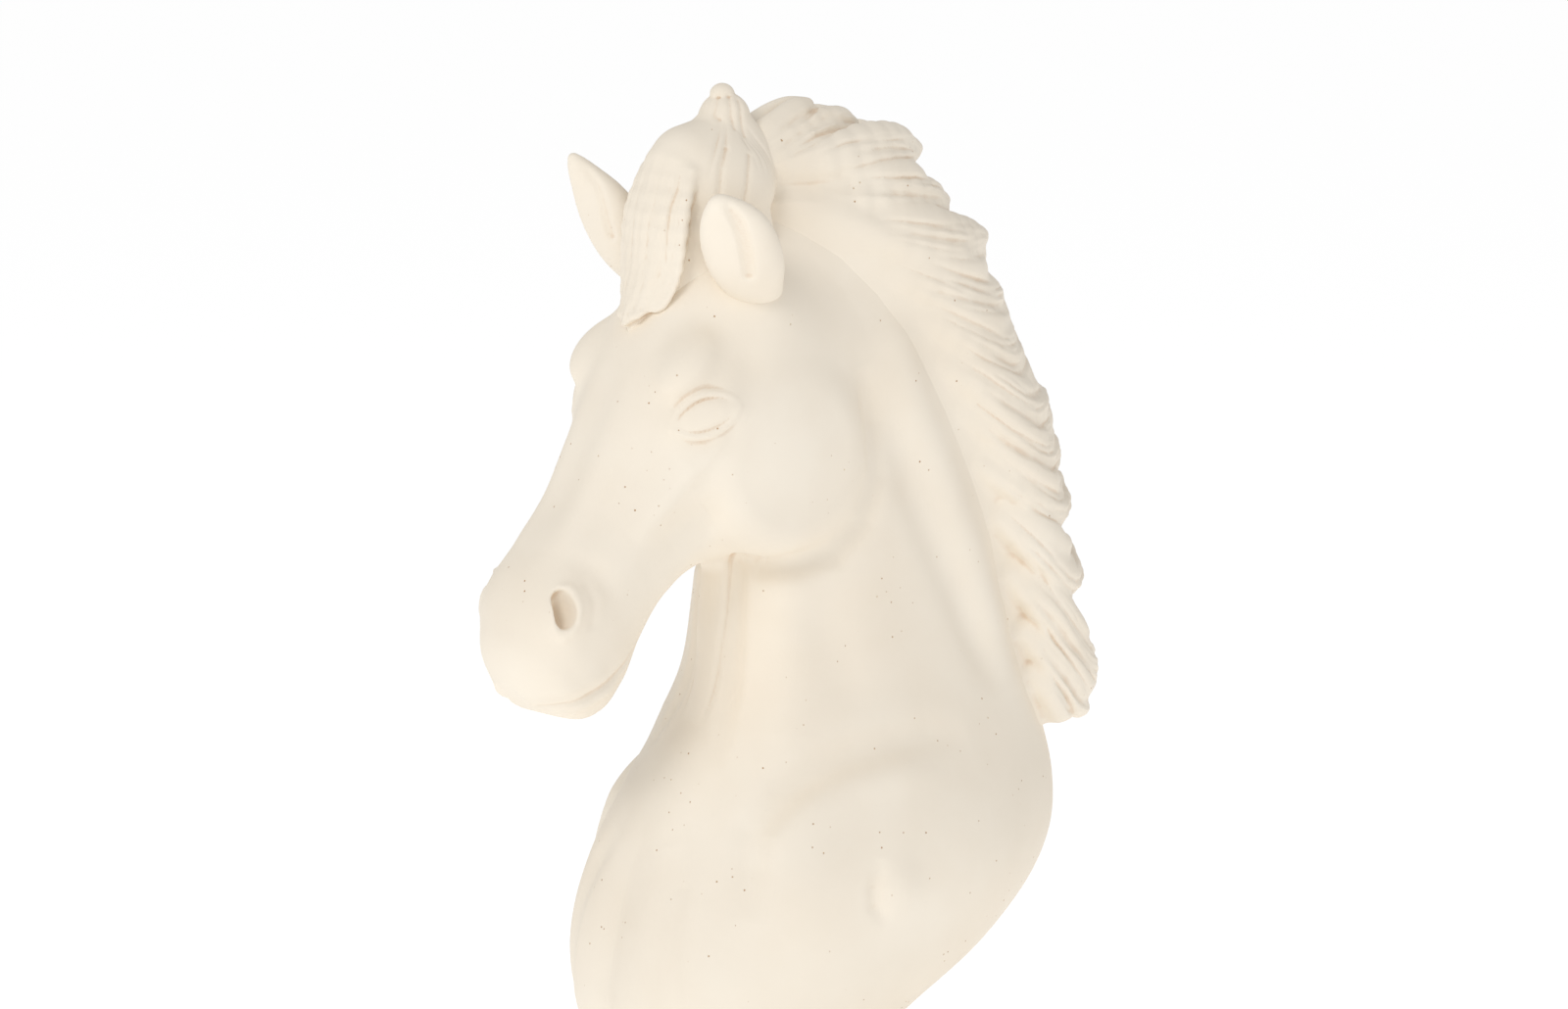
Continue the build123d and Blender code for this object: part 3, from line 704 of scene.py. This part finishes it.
def halves(mesh):
    """The +X half of a symmetric mesh with a flat cut face, and the same half for the other side."""
    bm = bmesh.new()
    bm.from_mesh(mesh)
    biggest(bm)
    rim = cut_at_middle(bm)
    bmesh.ops.triangle_fill(bm, edges=rim, normal=(-1, 0, 0), use_beauty=True)
    for edge in rim:
        edge.smooth = False
    bmesh.ops.recalc_face_normals(bm, faces=bm.faces[:])
    left = bpy.data.meshes.new("left_half")
    bm.to_mesh(left)
    bmesh.ops.scale(bm, vec=(-1, 1, 1), verts=bm.verts[:])
    bmesh.ops.reverse_faces(bm, faces=bm.faces[:])
    right = bpy.data.meshes.new("right_half")
    bm.to_mesh(right)
    bm.free()
    return left, right


print("mesh tools ready: cleaned, biggest, cut_at_middle, halves")

# %% [markdown]
# ## The hollow shell
# The real bust is a thin laminated shell, so the clay is hollowed from inside. Where a blended field
# rises slowly its numbers say less than the real depth; dividing by the slope puts that right. The
# narrow muzzle is left solid, because the nostrils are cut deeper than the wall is thick. The hair
# and the ears are cut back inside the body, so that they overlap it by only a thin skin.

# %% Settle the hair and hollow the bust
HAIR_SKIN, EAR_SKIN = 3.4, 3.0          # how deep hair and ears reach into the body
WALL = 5                                # about how thick the shell is
FOOT_TOP = 212                          # the hollow starts above this height
SOCKET_RADIUS = 76.3                    # the socket round the pedestal's collar
MUZZLE_START = 300                      # solid from this distance along the head
MUZZLE_BOTTOM = 430                     # and only above this height, so the chest stays hollow


def true_depth(clay):
    """The field divided by its slope, which is close to real millimetres near the surface."""
    slope = sum(np.square(part) for part in np.gradient(clay.d, clay.step))
    return (clay.d / np.clip(np.sqrt(slope), 0.25, 1.5)).astype(np.float32)


class Measured:
    """A finished clay whose field is in real millimetres."""

    def __init__(self, clay):
        self.low, self.step, self.d = clay.low, clay.step, true_depth(clay)


def settle(clay, under, depth):
    """Cuts away what lies deeper than this inside another clay, so pieces only overlap by a skin."""
    clay.d = np.maximum(clay.d, -(distance_to(clay, under) + depth)).astype(np.float32)


def bust_foot(clay):
    """The hollow of the shell above its foot, and the socket that the pedestal's collar seats in."""
    _, x, y, z = clay.whole()
    along_head = -(y - HEAD_ROOT[1] + z - HEAD_ROOT[2]) * DIAG
    solid_muzzle = np.minimum(along_head - MUZZLE_START, z - MUZZLE_BOTTOM)
    hollow = np.maximum(np.maximum(true_depth(clay) + WALL, FOOT_TOP - z), solid_muzzle)
    d = np.maximum(clay.d, -hollow)
    socket = np.maximum(np.sqrt(x**2 + y**2) - SOCKET_RADIUS, z - FOOT_TOP)
    clay.d = np.maximum(d, -socket).astype(np.float32)


body = Measured(bust)
settle(mane, body, HAIR_SKIN)
settle(forelock, body, HAIR_SKIN)
settle(ear, body, EAR_SKIN)
settle(far_ear, body, EAR_SKIN)
bust_foot(bust)
print("hollowed the bust to a wall of about", WALL, "mm above", FOOT_TOP, "mm")

# %% Make the pieces
def whole_piece(clay, flip=False):
    """A clay as one mesh, flipped to the other side if wanted."""
    bm = bmesh.new()
    bm.from_mesh(skin(clay, "whole"))
    biggest(bm)
    if flip:
        bmesh.ops.scale(bm, vec=(-1, 1, 1), verts=bm.verts[:])
    bmesh.ops.recalc_face_normals(bm, faces=bm.faces[:])
    mesh = bpy.data.meshes.new("whole")
    bm.to_mesh(mesh)
    bm.free()
    return mesh


def both_sides(clay):
    """A symmetric clay, sculpted only on the +X side, as one whole mesh."""
    bm = bmesh.new()
    bm.from_mesh(skin(clay, "side"))
    cut_at_middle(bm)
    geom = bm.verts[:] + bm.edges[:] + bm.faces[:]
    bmesh.ops.mirror(bm, geom=geom, axis="X", merge_dist=0.00005)
    biggest(bm)
    bmesh.ops.recalc_face_normals(bm, faces=bm.faces[:])
    mesh = bpy.data.meshes.new("both")
    bm.to_mesh(mesh)
    bm.free()
    return mesh


left_mesh, right_mesh = halves(skin(bust, "bust"))
cleaned("carved_bust_left", "bust_shell_left", left_mesh)
cleaned("carved_bust_right", "bust_shell_right", right_mesh)
print("bust half faces", len(left_mesh.polygons))
cleaned("carved_mane", "mane", both_sides(mane))
cleaned("carved_forelock", "forelock", both_sides(forelock))
cleaned("carved_ear_left", "ear_left", whole_piece(ear))
cleaned("carved_ear_right", "ear_right", whole_piece(far_ear, flip=True))

# %% [markdown]
# ## The cast surface
# The piece is cast in an off-white, matte resin and stone mix. Close up it has faint cloudy patches,
# a slightly sandy skin and small pinholes where air bubbles broke, a few of them filled with brown
# dust. Narrow recesses are painted warmer and darker: painted shade.

# %% Cream cast material
def new_material(name):
    material = bpy.data.materials.new(name)
    material.use_nodes = True
    tree = material.node_tree
    return material, tree, tree.nodes["Principled BSDF"]


def link(tree, a, b):
    tree.links.new(a, b)


def noise(tree, scale, detail=3.0, rough=0.5):
    coords = tree.nodes.new("ShaderNodeTexCoord")
    node = tree.nodes.new("ShaderNodeTexNoise")
    node.inputs["Scale"].default_value = scale
    node.inputs["Detail"].default_value = detail
    node.inputs["Roughness"].default_value = rough
    link(tree, coords.outputs["Object"], node.inputs["Vector"])
    return node


def ramp(tree, source, stops):
    node = tree.nodes.new("ShaderNodeValToRGB")
    elements = node.color_ramp.elements
    while len(elements) < len(stops):
        elements.new(0.5)
    for element, (at, colour) in zip(elements, stops):
        element.position = at
        element.color = (*colour, 1.0)
    link(tree, source, node.inputs["Fac"])
    return node


def blend_colour(tree, share, a, b):
    node = tree.nodes.new("ShaderNodeMix")
    node.data_type = "RGBA"
    link(tree, share, node.inputs[0])
    link(tree, a, node.inputs[6])
    link(tree, b, node.inputs[7])
    return node.outputs[2]


def linear(r, g, b):
    return tuple((c / 255 / 12.92) if c < 11 else ((c / 255 + 0.055) / 1.055)**2.4 for c in (r, g, b))


def cast_material(name, shade_recesses=True):
    """The flag mixes a warmer, darker colour into narrow recesses as painted shade; only carved pieces get
    it.
    """
    material, tree, shader = new_material(name)
    clouds = noise(tree, 9.0, 4.0)
    base = ramp(tree, clouds.outputs["Fac"], [(0.3, linear(237, 226, 209)), (0.7, linear(243, 234, 219))])
    geometry = tree.nodes.new("ShaderNodeNewGeometry")
    # painted shade: where pointiness is low, in narrow recesses, the colour is mixed towards a darker warm
    # brown
    recess_shade_mask = ramp(tree, geometry.outputs["Pointiness"], [(0.44, (1, 1, 1)), (0.49, (0, 0, 0))])
    shade_tint = ramp(tree, clouds.outputs["Fac"], [(0.3, linear(205, 172, 138)), (0.8, linear(214, 186, 154))])
    coloured = base.outputs["Color"]
    if shade_recesses:
        coloured = blend_colour(tree, recess_shade_mask.outputs["Color"], coloured, shade_tint.outputs["Color"])
    pits = tree.nodes.new("ShaderNodeTexVoronoi")
    pits.inputs["Scale"].default_value = 125.0
    coords = tree.nodes.new("ShaderNodeTexCoord")
    link(tree, coords.outputs["Object"], pits.inputs["Vector"])
    holes = ramp(tree, pits.outputs["Distance"], [(0.06, (1, 1, 1)), (0.10, (0, 0, 0))])
    where = noise(tree, 30.0, 2.0)
    some = ramp(tree, where.outputs["Fac"], [(0.56, (0, 0, 0)), (0.60, (1, 1, 1))])
    both = tree.nodes.new("ShaderNodeMath")
    both.operation = "MULTIPLY"
    link(tree, holes.outputs["Color"], both.inputs[0])
    link(tree, some.outputs["Color"], both.inputs[1])
    dust = ramp(tree, where.outputs["Fac"], [(0.6, linear(176, 132, 84)), (0.75, linear(226, 208, 178))])
    final = blend_colour(tree, both.outputs[0], coloured, dust.outputs["Color"])
    link(tree, final, shader.inputs["Base Color"])
    shader.inputs["Roughness"].default_value = 0.62
    shader.inputs["Specular IOR Level"].default_value = 0.28
    grain = noise(tree, 420.0, 3.0)
    bump = tree.nodes.new("ShaderNodeBump")
    bump.inputs["Strength"].default_value = 0.10
    bump.inputs["Distance"].default_value = 0.0006
    link(tree, grain.outputs["Fac"], bump.inputs["Height"])
    pinholes = tree.nodes.new("ShaderNodeBump")
    pinholes.invert = True
    pinholes.inputs["Strength"].default_value = 0.5
    pinholes.inputs["Distance"].default_value = 0.001
    link(tree, both.outputs[0], pinholes.inputs["Height"])
    link(tree, bump.outputs["Normal"], pinholes.inputs["Normal"])
    link(tree, pinholes.outputs["Normal"], shader.inputs["Normal"])
    return material


def dress(piece, material):
    piece.data.materials.clear()
    piece.data.materials.append(material)


cast = cast_material("cast_cream_resin")
for piece in bpy.context.scene.objects:
    if piece.type == "MESH" and piece.name.startswith("carved_"):
        dress(piece, cast)
dress(nodes["pedestal_shell"], cast_material("turned_cream_resin", shade_recesses=False))

# %% [markdown]
# ## The hidden parts
# Inside are plain workshop materials: zinc-plated steel for the rod, nuts, screws and pins, glass
# fibre for the seam tape and the bust's floor, plywood under the pedestal, rubber for the feet and
# the seals, grey and cream plastic, and dry quartz sand as ballast.

# %% Workshop materials
def simple(name, colour, rough, metal=0.0, speckle=0.0, scale=60.0):
    """A plain material; speckle makes it lighter and darker in a fine pattern."""
    material, tree, shader = new_material(name)
    colour = np.array(linear(*colour))
    grain = noise(tree, scale, 4.0)
    tones = ramp(tree, grain.outputs["Fac"], [(0.35, tuple(colour * (1 - speckle))),
                                              (0.65, tuple(np.minimum(colour * (1 + speckle), 1)))])
    link(tree, tones.outputs["Color"], shader.inputs["Base Color"])
    shader.inputs["Roughness"].default_value = rough
    shader.inputs["Metallic"].default_value = metal
    return material


def plywood():
    """Birch veneer: long streaks across the board."""
    material, tree, shader = new_material("birch_plywood")
    streaks = noise(tree, 9.0, 6.0, 0.7)
    squeeze = tree.nodes.new("ShaderNodeMapping")
    squeeze.inputs["Scale"].default_value = (1.0, 14.0, 1.0)
    coords = tree.nodes.new("ShaderNodeTexCoord")
    link(tree, coords.outputs["Object"], squeeze.inputs["Vector"])
    link(tree, squeeze.outputs["Vector"], streaks.inputs["Vector"])
    tones = ramp(tree, streaks.outputs["Fac"],
                 [(0.35, linear(176, 136, 92)), (0.65, linear(216, 184, 140))])
    link(tree, tones.outputs["Color"], shader.inputs["Base Color"])
    shader.inputs["Roughness"].default_value = 0.6
    return material


WORKSHOP = [
    (simple("zinc_steel", (188, 192, 196), 0.34, 1.0, 0.08, 120.0),
     ("tie_rod", "tie_rod_washer", "tie_rod_nut", "captive_nut", "floor_screws", "foot_screws",
      "locating_pins")),
    (simple("glass_fibre", (206, 204, 178), 0.5, 0.0, 0.12, 300.0), ("seam_tape", "bust_floor")),
    (simple("black_rubber", (38, 38, 40), 0.8, 0.0, 0.1), ("rubber_feet", "bust_gasket", "fill_plug_seal")),
    (simple("grey_plastic", (150, 152, 154), 0.45), ("rod_sleeve", "plug_bush")),
    (simple("cream_plastic", (232, 220, 200), 0.4), ("fill_plug",)),
    (simple("quartz_sand", (206, 176, 130), 0.95, 0.0, 0.35, 900.0), ("sand_ballast",)),
    (plywood(), ("pedestal_floor",)),
]
for material, names in WORKSHOP:
    for name in names:
        dress(nodes[name], material)
    print(material.name, "on", ", ".join(names))

# %% [markdown]
# ## Stage
# A wide pale floor that glows a little like a lit studio table, one broad soft light from the upper
# left front, a weak one from the right, and an even white surround. The camera looks from the
# horse's left front.

# %% Stage, lights and camera
scene = bpy.context.scene
scene.view_settings.view_transform = "Standard"
scene.view_settings.look = "None"


def wide_floor():
    """One flat pale sheet that reaches out past every view."""
    mesh = bpy.data.meshes.new("floor")
    mesh.from_pydata([(-45, -45, 0), (45, -45, 0), (45, 45, 0), (-45, 45, 0)], [], [(0, 1, 2, 3)])
    sheet = bpy.data.objects.new("studio_floor", mesh)
    scene.collection.objects.link(sheet)
    material, _, shader = new_material("paper_floor")
    shader.inputs["Base Color"].default_value = (0.93, 0.93, 0.93, 1)
    shader.inputs["Roughness"].default_value = 0.9
    shader.inputs["Specular IOR Level"].default_value = 0.0
    shader.inputs["Emission Color"].default_value = (1, 1, 1, 1)
    shader.inputs["Emission Strength"].default_value = 0.45
    dress(sheet, material)


def soft_light(name, place, size, power, aim=(0, 0, 0.5)):
    data = bpy.data.lights.new(name, "AREA")
    data.shape, data.size, data.energy = "DISK", size, power
    lamp = bpy.data.objects.new(name, data)
    lamp.location = place
    lamp.rotation_euler = (Vector(aim) - Vector(place)).to_track_quat("-Z", "Y").to_euler()
    scene.collection.objects.link(lamp)


def camera_at(azimuth, elevation, distance, target, lens):
    a, e = np.radians(azimuth), np.radians(elevation)
    back = Vector((np.sin(a) * np.cos(e), -np.cos(a) * np.cos(e), np.sin(e)))
    data = bpy.data.cameras.new("camera")
    data.lens, data.sensor_width = lens, 36
    data.clip_end = 120
    view = bpy.data.objects.new("camera", data)
    view.location = Vector(target) + back * distance
    view.rotation_euler = back.to_track_quat("Z", "Y").to_euler()
    scene.collection.objects.link(view)
    scene.camera = view


wide_floor()
soft_light("key", (0.9, -2.9, 2.8), 1.4, 36)
soft_light("fill", (3.2, 0.6, 1.4), 2.5, 8)
world = bpy.data.worlds.new("studio")
scene.world = world
world.use_nodes = True
world.node_tree.nodes["Background"].inputs["Color"].default_value = (1, 1, 1, 1)
world.node_tree.nodes["Background"].inputs["Strength"].default_value = 0.58
camera_at(52, 9, 3.2, (0, 0, 0.582), 98.6)
